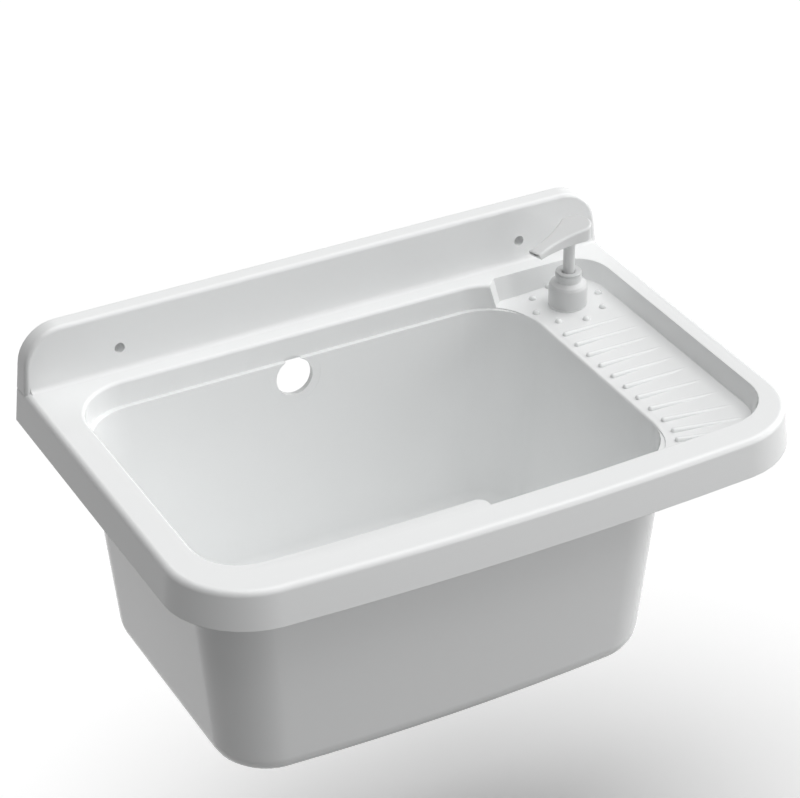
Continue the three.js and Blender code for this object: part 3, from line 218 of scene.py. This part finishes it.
@dataclass(frozen=True)
class Metal:
    """A plain turned or drawn metal."""

    name: str
    colour: str
    roughness: float

    def build(self) -> bpy.types.Material:
        """Makes the material.

        Returns:
            The new material.
        """
        material = bpy.data.materials.new(self.name)
        material.use_nodes = True
        shader = material.node_tree.nodes["Principled BSDF"]
        shader.inputs["Base Color"].default_value = linear(self.colour)
        shader.inputs["Metallic"].default_value = 1.0
        shader.inputs["Roughness"].default_value = self.roughness
        return material


FINISHES: dict[Finish, Plastic | Metal] = {
    # Injection-moulded in a polished mould: a bright white with clear, soft highlights.
    Finish.BASIN: Plastic(Finish.BASIN.value, "F8F9F9", 0.1, 28, 0.02),
    # Small mouldings from a plainer mould: a shade greyer, with a satin sheen.
    Finish.PUMP: Plastic(Finish.PUMP.value, "E0E1E1", 0.3, 9, 0.01),
    # Blown or moulded without pigment: a dull, waxy off-white.
    Finish.NATURAL: Plastic(Finish.NATURAL.value, "DDE1DF", 0.4, 12, 0.03),
    # Moulded nitrile rubber: near black and almost without shine.
    Finish.RUBBER: Plastic(Finish.RUBBER.value, "1D1F20", 0.7, 3, 0.01),
    # Turned or drawn stainless steel: grey, with broad highlights.
    Finish.STEEL: Metal(Finish.STEEL.value, "C4C7CA", 0.28),
}


@dataclass(frozen=True)
class SoftLamp:
    """A wide, far lamp, which lights all that it reaches evenly."""

    name: str
    towards: tuple[float, float, float]  # from the sink to the lamp
    spread: float  # degrees
    strength: float  # share of full white that it gives a pale face turned to it

    def build(self) -> bpy.types.Object:
        """Makes the lamp.

        Returns:
            The new lamp.
        """
        data = bpy.data.lights.new(self.name, "SUN")
        data.angle = math.radians(self.spread)
        data.energy = self.strength * math.pi
        lamp = bpy.data.objects.new(self.name, data)
        bpy.context.scene.collection.objects.link(lamp)
        lamp.location = self.towards
        lamp.rotation_euler = (-Vector(self.towards)).to_track_quat("-Z", "Y").to_euler()
        return lamp


LAMPS = (
    SoftLamp("top", (0.12, -0.02, 1.0), 76, 0.39),
    SoftLamp("key", (0.12, -0.02, 1.0), 30, 0.1),
    SoftLamp("right", (0.7, 0.0, 0.7), 50, 0.24),
    SoftLamp("front", (0.0, -0.7, 0.7), 50, 0.12),
    SoftLamp("low_right", (1.0, 0.0, 0.1), 50, 0.3),
    SoftLamp("low_front", (0.75, -0.75, 0.1), 50, 0.31),
)
# The paper has a lamp of its own, so that the shadow lies where the photo has it.
FLOOR_LAMP = SoftLamp("floor_lamp", (-0.12, 0.16, 1.0), 66, 0.8)


@dataclass(frozen=True)
class StudioSizes:
    """The camera's and the floor's places and sizes, and the level of the plain light."""

    camera: tuple[float, float, float] = (-0.85208, -1.71329, 1.11684)  # metres
    yaw: float = 0.4966  # radians from +Y towards +X
    pitch: float = 0.562  # radians below level
    lens: float = 127.1  # millimetres
    sensor: float = 36  # millimetres
    clip_start: float = 0.05  # metres
    floor_side: float = 14  # metres
    floor_z: float = -0.42  # metres
    sky: float = 0.03
    floor_glow: float = 0.22
    floor_bounce: str = "939393"


@dataclass
class Studio:
    """The floor, the lamps, the world and the camera."""

    sizes: StudioSizes = StudioSizes()

    def build(self) -> None:
        """Makes the whole studio."""
        floor = self._floor()
        self._world()
        floor_only = bpy.data.collections.new("floor_only")
        floor_only.objects.link(floor)
        FLOOR_LAMP.build().light_linking.receiver_collection = floor_only
        others = bpy.data.collections.new("all_but_the_floor")
        others.objects.link(floor)
        others.collection_objects[0].light_linking.link_state = "EXCLUDE"
        for lamp in LAMPS:
            lamp.build().light_linking.receiver_collection = others
        self._camera()

    def _floor(self) -> bpy.types.Object:
        """Makes the paper that the sink's shadow falls on.

        Returns:
            The floor.
        """
        sizes = self.sizes
        bpy.ops.mesh.primitive_plane_add(size=sizes.floor_side, location=(0, 0, sizes.floor_z))
        floor = bpy.context.object
        floor.name = "floor"
        material = bpy.data.materials.new("floor_paper")
        material.use_nodes = True
        tree = material.node_tree
        tree.nodes.clear()
        # Seen directly the paper is white and keeps the shadow. What it throws back is weaker.
        paper = add_node(tree, "ShaderNodeBsdfDiffuse", inputs={"Color": WHITE})
        glow = add_node(tree, "ShaderNodeEmission", inputs={"Strength": sizes.floor_glow})
        seen = add_node(
            tree, "ShaderNodeAddShader", links={0: paper.outputs[0], 1: glow.outputs[0]}
        )
        bounce = add_node(
            tree, "ShaderNodeBsdfDiffuse", inputs={"Color": linear(sizes.floor_bounce)}
        )
        both = add_node(
            tree,
            "ShaderNodeMixShader",
            links={0: self._seen(tree), 1: bounce.outputs[0], 2: seen.outputs[0]},
        )
        add_node(tree, "ShaderNodeOutputMaterial", links={"Surface": both.outputs[0]})
        floor.data.materials.append(material)
        return floor

    @staticmethod
    def _seen(tree: bpy.types.NodeTree) -> bpy.types.NodeSocket:
        """Tells the rays that show a thing from the rays that light the object.

        Args:
            tree: The node tree.

        Returns:
            A socket that is 1 for camera, glossy and transmission rays.
        """
        path = add_node(tree, "ShaderNodeLightPath")
        first = add_node(
            tree,
            "ShaderNodeMath",
            {"operation": "MAXIMUM"},
            links={0: path.outputs["Is Camera Ray"], 1: path.outputs["Is Glossy Ray"]},
        )
        both = add_node(
            tree,
            "ShaderNodeMath",
            {"operation": "MAXIMUM"},
            links={0: first.outputs[0], 1: path.outputs["Is Transmission Ray"]},
        )
        return both.outputs[0]

    def _world(self) -> None:
        """Makes a world that looks white and gives a little light."""
        world = bpy.data.worlds.new("studio")
        bpy.context.scene.world = world
        world.use_nodes = True
        tree = world.node_tree
        tree.nodes.clear()
        light = add_node(
            tree, "ShaderNodeBackground", inputs={"Color": WHITE, "Strength": self.sizes.sky}
        )
        white = add_node(tree, "ShaderNodeBackground", inputs={"Color": WHITE, "Strength": 1.0})
        mix = add_node(
            tree,
            "ShaderNodeMixShader",
            links={0: self._seen(tree), 1: light.outputs[0], 2: white.outputs[0]},
        )
        add_node(tree, "ShaderNodeOutputWorld", links={"Surface": mix.outputs[0]})

    def _camera(self) -> None:
        """Makes the camera at the photo's angle."""
        sizes = self.sizes
        data = bpy.data.cameras.new("camera")
        data.lens = sizes.lens
        data.sensor_width = sizes.sensor
        data.clip_start = sizes.clip_start
        camera = bpy.data.objects.new("camera", data)
        bpy.context.scene.collection.objects.link(camera)
        camera.location = sizes.camera
        level = math.cos(sizes.pitch)
        aim = Vector(
            (math.sin(sizes.yaw) * level, math.cos(sizes.yaw) * level, -math.sin(sizes.pitch))
        )
        camera.rotation_euler = aim.to_track_quat("-Z", "Y").to_euler()
        bpy.context.scene.camera = camera


def select_only(*pieces: bpy.types.Object) -> None:
    """Selects these objects and no other, and makes the first one active.

    Args:
        pieces: The objects.
    """
    bpy.ops.object.select_all(action="DESELECT")
    for piece in pieces:
        piece.select_set(True)
    bpy.context.view_layer.objects.active = pieces[0]


def merged_copy(
    node_name: str, name: str, reshape: Callable[[bmesh.types.BMesh], None] | None = None
) -> bpy.types.Object:
    """Copies a carried-over node and turns its loose triangles back into whole faces.

    Args:
        node_name: The node to copy.
        name: The new piece's name.
        reshape: Changes the merged mesh before its flat faces are joined.

    Returns:
        The new piece, in object mode and alone selected.
    """
    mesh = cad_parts[node_name].data.copy()
    piece = bpy.data.objects.new(name, mesh)
    bpy.context.scene.collection.objects.link(piece)
    select_only(piece)
    bpy.ops.object.mode_set(mode="EDIT")
    bpy.ops.mesh.select_all(action="SELECT")
    bpy.ops.mesh.remove_doubles(threshold=WELD)
    if reshape:
        bpy.ops.object.mode_set(mode="OBJECT")
        edited = bmesh.new()
        edited.from_mesh(mesh)
        reshape(edited)
        edited.to_mesh(mesh)
        edited.free()
        bpy.ops.object.mode_set(mode="EDIT")
        bpy.ops.mesh.select_all(action="SELECT")
        bpy.ops.mesh.remove_doubles(threshold=CLOSE)
        bpy.ops.mesh.normals_make_consistent(inside=False)
    bpy.ops.mesh.dissolve_limited(angle_limit=math.radians(FLAT_ANGLE))
    bpy.ops.object.mode_set(mode="OBJECT")
    return piece


def apply_boolean(piece: bpy.types.Object, tool: bpy.types.Object, operation: str) -> None:
    """Joins a tool to a piece or cuts it away, and removes the tool.

    Args:
        piece: The piece.
        tool: The object that is joined or cut away.
        operation: UNION or DIFFERENCE.
    """
    change = piece.modifiers.new("change", "BOOLEAN")
    change.operation = operation
    change.object = tool
    change.solver = "EXACT"
    select_only(piece)
    bpy.ops.object.modifier_apply(modifier=change.name)
    bpy.data.objects.remove(tool)


def smooth_all(mesh: bpy.types.Mesh) -> None:
    """Sets every face of a mesh smooth."""
    mesh.polygons.foreach_set("use_smooth", [True] * len(mesh.polygons))


def weigh_normals(piece: bpy.types.Object, weight: int) -> bpy.types.Modifier:
    """Lets large faces rule the shading, so that flat faces look flat.

    Args:
        piece: The piece.
        weight: How far they rule it, of 100.

    Returns:
        The live modifier.
    """
    normals = piece.modifiers.new("normals", "WEIGHTED_NORMAL")
    normals.mode = "FACE_AREA_WITH_ANGLE"
    normals.weight = weight
    normals.keep_sharp = True
    return normals


def set_creases(piece: bpy.types.Object, angle_at: Callable[[Vector], float]) -> None:
    """Marks as sharp each edge that turns more than the angle allowed at its place.

    Args:
        piece: The piece, active and alone selected.
        angle_at: Gives the allowed turn, in degrees, at a point.
    """
    mesh = bmesh.new()
    mesh.from_mesh(piece.data)
    for edge in mesh.edges:
        middle = (edge.verts[0].co + edge.verts[1].co) / 2
        edge.smooth = edge.calc_face_angle(0) < math.radians(angle_at(middle))
    mesh.to_mesh(piece.data)
    mesh.free()
    smooth_all(piece.data)
    normals = weigh_normals(piece, SKIN_NORMAL_WEIGHT)
    bpy.ops.object.modifier_apply(modifier=normals.name)


def stand_in(piece: bpy.types.Object, node_name: str, materials: Materials) -> None:
    """Dresses a finished piece and puts it in the place of a carried-over node.

    Args:
        piece: The finished piece.
        node_name: The node that it stands for.
        materials: The made materials.
    """
    finish = NODE_FINISH[node_name]
    piece.data.materials.clear()
    piece.data.materials.append(materials[finish])
    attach(piece, BODIES[node_name])
    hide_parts(node_name)
    log.info("%s: %d faces, rides on %s", piece.name, len(piece.data.polygons), BODIES[node_name])


@dataclass(frozen=True)
class BasinSizes:
    """Places on the basin and what the skin changes there, in the CAD's frame, in mm."""

    # The bowl: its outer faces at the apron's foot, and how they draw in below it.
    bowl_right: float = 162.0
    bowl_back: float = -33.3
    apron_foot: float = -30.0
    back_taper: float = 0.0605
    wall: float = 4.2
    # The overflow's hole and its sunk seat, which is left as a faint ring.
    overflow: tuple[float, float] = (-37.0, -35.0)
    overflow_rings: tuple[float, float] = (15.5, 22.5)
    overflow_seat_y: float = -37.202
    overflow_seat: float = 0.12
    ring_play: float = 0.3
    # The two screw holes, a little further right in the photo than in the solids.
    screw_hole_x: float = 174.0
    screw_hole_z: float = 18.0
    screw_reach: float = 8.6
    screw_move: float = 2.4
    # The pump's seat, drawn in under the collar, and its boss, made level with the deck.
    pump: tuple[float, float] = (192.7, -65.4)
    seat_radius: float = 17.0
    seat_shown: float = 15.3
    seat_low: float = -20.0
    seat_high: float = -16.0
    seat_play: float = 0.2
    boss_radius: float = 23.2
    boss_z: float = -18.2
    boss_play: float = 0.05
    # The sloping deck, and the field of the solids' own ribs that is cleared from it.
    deck_low_z: float = -20.0
    deck_slope: float = 3.5 / 71.5
    deck_right: float = 233.5
    plain_low: tuple[float, float] = (162.5, -285.5)
    plain_high: tuple[float, float] = (225.6, -98.0)
    deck_play: float = 0.01
    rib_foot: float = -1.0  # over the deck: the faces of a rib lie between these two
    rib_top: float = 4.0


@dataclass(frozen=True)
class RibSizes:
    """The drain ribs and the nubs round the pump, in millimetres."""

    count: int = 11
    radius: float = 2.25
    rise: float = 3.0
    pitch: float = 17.6
    first_y: float = -105.5
    setback: float = 2.3
    end_gap: float = 9.5
    slant: float = 0.02
    fan: float = 0.05  # what each fanned rib adds to the slant
    fanned: int = 5  # how many of the last ribs fan out
    crowded: int = 2  # how many of the last ribs the front corner crowds
    crowd_left: float = 1.4
    crowd_right: float = 5.0
    crowd_back: float = 1.9
    nub_count: int = 8
    nub_circle: float = 28.8
    nub_radius: float = 3.0
    nub_sink: float = 0.3


@dataclass
class BasinSkin:
    """The basin's moulded skin: whole faces, soft edges and fanned drain ribs."""

    materials: Materials
    sizes: BasinSizes = BasinSizes()
    ribs: RibSizes = RibSizes()
    deck_low: tuple[float, float, float] = (0.13, -0.31, -0.0208)  # metres
    deck_high: tuple[float, float, float] = (0.236, -0.028, -0.0125)  # metres
    deck_crease: float = 12  # degrees: the ribs' feet stay crisp where they meet the deck

    def build(self) -> None:
        """Makes the skin and hides the plain node."""
        piece = merged_copy("basin", "basin_skin", self._reshape)
        self._join_ribs(piece)
        set_creases(piece, self._crease_at)
        stand_in(piece, "basin", self.materials)

    def _crease_at(self, place: Vector) -> float:
        """Gives the turn past which an edge at this place is sharp, in degrees."""
        on_deck = all(
            low < c < high for low, c, high in zip(self.deck_low, place, self.deck_high)
        )
        return self.deck_crease if on_deck else CREASE_ANGLE

    def _deck_z(self, x: float) -> float:
        """Gives the deck's height at this place along the wall, in millimetres."""
        return self.sizes.deck_low_z + self.sizes.deck_slope * (x - self.sizes.bowl_right)

    def _reshape(self, mesh: bmesh.types.BMesh) -> None:
        """Moves the basin's points to where the photo has them and clears its deck.

        Args:
            mesh: The merged copy of the basin.
        """
        for vertex in mesh.verts:
            x, y, z = (c / MM for c in vertex.co)
            y = self._overflow_y(x, y, z)
            x, y, z = self._pump_place(x, y, z)
            x = self._screw_hole_x(x, z)
            vertex.co = Vector((x, y, z)) * MM
        self._plain_deck(mesh)

    def _overflow_y(self, x: float, y: float, z: float) -> float:
        """Brings the overflow's sunk seat out to the bowl's inner face.

        Args:
            x: The point's place along the wall, in millimetres.
            y: Its place across it, which is less than 0 in front of the wall.
            z: Its height over the rim's top, which is less than 0 below it.

        Returns:
            The point's new y.
        """
        sizes = self.sizes
        ring = math.hypot(x - sizes.overflow[0], z - sizes.overflow[1])
        at_depth = abs(y - sizes.overflow_seat_y) < sizes.seat_play
        if at_depth and min(abs(ring - r) for r in sizes.overflow_rings) < sizes.ring_play:
            drawn_in = sizes.back_taper * (sizes.apron_foot - z)
            return sizes.bowl_back - sizes.wall - drawn_in + sizes.overflow_seat
        return y

    def _pump_place(self, x: float, y: float, z: float) -> tuple[float, float, float]:
        """Draws the pump's seat in under the collar and levels its boss with the deck.

        Args:
            x: The point's place along the wall, in millimetres.
            y: Its place across it, which is less than 0 in front of the wall.
            z: Its height over the rim's top, which is less than 0 below it.

        Returns:
            The point's new place.
        """
        sizes = self.sizes
        pump_x, pump_y = sizes.pump
        from_pump = math.hypot(x - pump_x, y - pump_y)
        on_ring = abs(from_pump - sizes.seat_radius) < sizes.seat_play
        if on_ring and sizes.seat_low < z < sizes.seat_high:
            share = sizes.seat_shown / sizes.seat_radius
            x = pump_x + (x - pump_x) * share
            y = pump_y + (y - pump_y) * share
        on_boss = sizes.seat_radius - sizes.seat_play < from_pump < sizes.boss_radius
        if on_boss and abs(z - sizes.boss_z) < sizes.boss_play:
            z = min(self._deck_z(x), z)
        return x, y, z

    def _screw_hole_x(self, x: float, z: float) -> float:
        """Moves a point of a screw hole along the wall.

        Args:
            x: The point's place along the wall, in millimetres.
            z: Its height over the rim's top, which is less than 0 below it.

        Returns:
            The point's new x.
        """
        sizes = self.sizes
        at_hole = any(
            math.hypot(x - side * sizes.screw_hole_x, z - sizes.screw_hole_z) < sizes.screw_reach
            for side in (-1, 1)
        )
        return x + sizes.screw_move if at_hole else x

    def _plain_deck(self, mesh: bmesh.types.BMesh) -> None:
        """Takes the solids' straight ribs off the deck and closes it.

        Args:
            mesh: The merged copy of the basin.
        """
        sizes = self.sizes

        def in_field(place: Vector) -> bool:
            """Tells whether a place lies over the field of ribs."""
            return all(
                low < c / MM < high
                for low, c, high in zip(sizes.plain_low, place, sizes.plain_high)
            )

        def height(place: Vector) -> float:
            """Gives a place's height over the deck, in millimetres."""
            return place.z / MM - self._deck_z(place.x / MM)

        old = []
        for face in mesh.faces:
            middle = face.calc_center_median()
            top = max(height(v.co) for v in face.verts)
            stands = sizes.rib_foot < height(middle) and sizes.deck_play < top < sizes.rib_top
            if in_field(middle) and stands:
                old.append(face)
        bmesh.ops.delete(mesh, geom=old, context="FACES")
        open_edges = [
            edge
            for edge in mesh.edges
            if edge.is_boundary and in_field((edge.verts[0].co + edge.verts[1].co) / 2)
        ]
        bmesh.ops.holes_fill(mesh, edges=open_edges, sides=0)

    def _join_ribs(self, piece: bpy.types.Object) -> None:
        """Moulds the fanned ribs and the nubs on to the deck.

        Args:
            piece: The basin's skin.
        """
        made = [self._rib(index) for index in range(self.ribs.count)]
        made += [self._nub(index) for index in range(self.ribs.nub_count)]
        select_only(*made)
        bpy.ops.object.join()
        apply_boolean(piece, bpy.context.object, "UNION")

    def _rib(self, index: int) -> bpy.types.Object:
        """Draws a ball out into one rib that sinks into the deck as the deck rises.

        Args:
            index: The rib's number, from the back.

        Returns:
            The rib.
        """
        ribs = self.ribs
        fanned = max(0, index + 1 + ribs.fanned - ribs.count)
        crowded = max(0, index + 1 + ribs.crowded - ribs.count) ** 2
        left = self.sizes.bowl_right + ribs.setback - ribs.crowd_left * crowded
        right = self.sizes.deck_right - ribs.end_gap - ribs.crowd_right * crowded
        straight = right - left - 2 * ribs.radius
        bpy.ops.object.select_all(action="DESELECT")
        bpy.ops.mesh.primitive_uv_sphere_add(
            segments=BALL_SEGMENTS, ring_count=BALL_RINGS, radius=ribs.radius * MM
        )
        rib = bpy.context.object
        for vertex in rib.data.vertices:
            # The ball is laid on its side, and its far half is drawn out along the rib.
            place = Vector((vertex.co.z, vertex.co.y, -vertex.co.x))
            place.x += ribs.radius * MM
            if vertex.co.z > NEARLY_ZERO:
                place.x += straight * MM
            vertex.co = place
        turn = -math.atan(ribs.slant + ribs.fan * fanned)
        rib.data.transform(Matrix.Rotation(turn, 4, "Z"))
        y = ribs.first_y - ribs.pitch * index + ribs.crowd_back * crowded
        z = self._deck_z(self.sizes.bowl_right) + ribs.rise - ribs.radius
        rib.data.transform(Matrix.Translation(Vector((left, y, z)) * MM))
        return rib

    def _nub(self, index: int) -> bpy.types.Object:
        """Makes one of the round nubs that stand in a circle round the pump.

        Args:
            index: The nub's number.

        Returns:
            The nub.
        """
        ribs = self.ribs
        angle = 2 * math.pi * index / ribs.nub_count
        x = self.sizes.pump[0] + ribs.nub_circle * math.cos(angle)
        y = self.sizes.pump[1] + ribs.nub_circle * math.sin(angle)
        z = self._deck_z(x) - ribs.nub_sink
        bpy.ops.object.select_all(action="DESELECT")
        bpy.ops.mesh.primitive_uv_sphere_add(
            segments=BALL_SEGMENTS,
            ring_count=BALL_RINGS,
            radius=ribs.nub_radius * MM,
            location=Vector((x, y, z)) * MM,
        )
        bpy.ops.object.transform_apply(location=True, rotation=True, scale=True)
        return bpy.context.object


@dataclass
class PumpHead:
    """The duckbill head. Its mouth is cut back from below, so that it pours downwards."""

    materials: Materials
    axis: tuple[float, float] = (0.1927, -0.0654)  # metres
    turn: float = 200  # degrees from +X to the mouth
    undercut: float = 36  # degrees that the mouth's face leans back
    cutter: float = 0.03  # metres
    tip_depth: float = 0.0004  # metres: points this near to the mouth's end belong to it

    def build(self) -> None:
        """Makes the head and hides the plain node."""
        piece = merged_copy("pump_head", "pump_head_cut")
        turn = math.radians(self.turn)
        along = Vector((math.cos(turn), math.sin(turn), 0))
        centre = Vector((*self.axis, 0))
        points = [v.co for v in piece.data.vertices]
        reach = max((p - centre).dot(along) for p in points)
        tip = max(p.z for p in points if (p - centre).dot(along) > reach - self.tip_depth)
        lean = math.radians(self.undercut)
        outwards = along * math.cos(lean) - Vector((0, 0, math.sin(lean)))
        edge = centre + along * reach + Vector((0, 0, tip))
        bpy.ops.object.select_all(action="DESELECT")
        bpy.ops.mesh.primitive_cube_add(
            size=self.cutter, location=edge + outwards * self.cutter / 2
        )
        cutter = bpy.context.object
        cutter.rotation_euler = outwards.to_track_quat("Z", "Y").to_euler()
        apply_boolean(piece, cutter, "DIFFERENCE")
        set_creases(piece, lambda place: CREASE_ANGLE)
        stand_in(piece, "pump_head", self.materials)


@dataclass
class Dressing:
    """Gives every carried-over node its finish and its smooth, softened edges."""

    materials: Materials

    def build(self) -> None:
        """Dresses each node of the frame."""
        for name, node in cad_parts.items():
            if name in NODE_FINISH:
                self._dress(node, NODE_FINISH[name])

    def _dress(self, node: bpy.types.Object, finish: Finish) -> None:
        """Gives one node its finish. Its shape stays, and live modifiers do the shading.

        Args:
            node: The node.
            finish: Its finish.
        """
        node.data.materials.clear()
        node.data.materials.append(self.materials[finish])
        smooth_all(node.data)
        weld = node.modifiers.new("weld", "WELD")
        weld.merge_threshold = WELD
        creases = node.modifiers.new("creases", "EDGE_SPLIT")
        creases.split_angle = math.radians(NODE_CREASES.get(node.name, CREASE_ANGLE))
        creases.use_edge_sharp = False
        weigh_normals(node, NODE_NORMAL_WEIGHT)


def main() -> None:
    """Builds the whole scene."""
    logging.basicConfig(level=logging.INFO)
    bpy.context.scene.view_settings.view_transform = "Standard"
    materials = {key: finish.build() for key, finish in FINISHES.items()}
    Dressing(materials).build()
    BasinSkin(materials).build()
    PumpHead(materials).build()
    Studio().build()


if __name__ == "__main__":
    main()
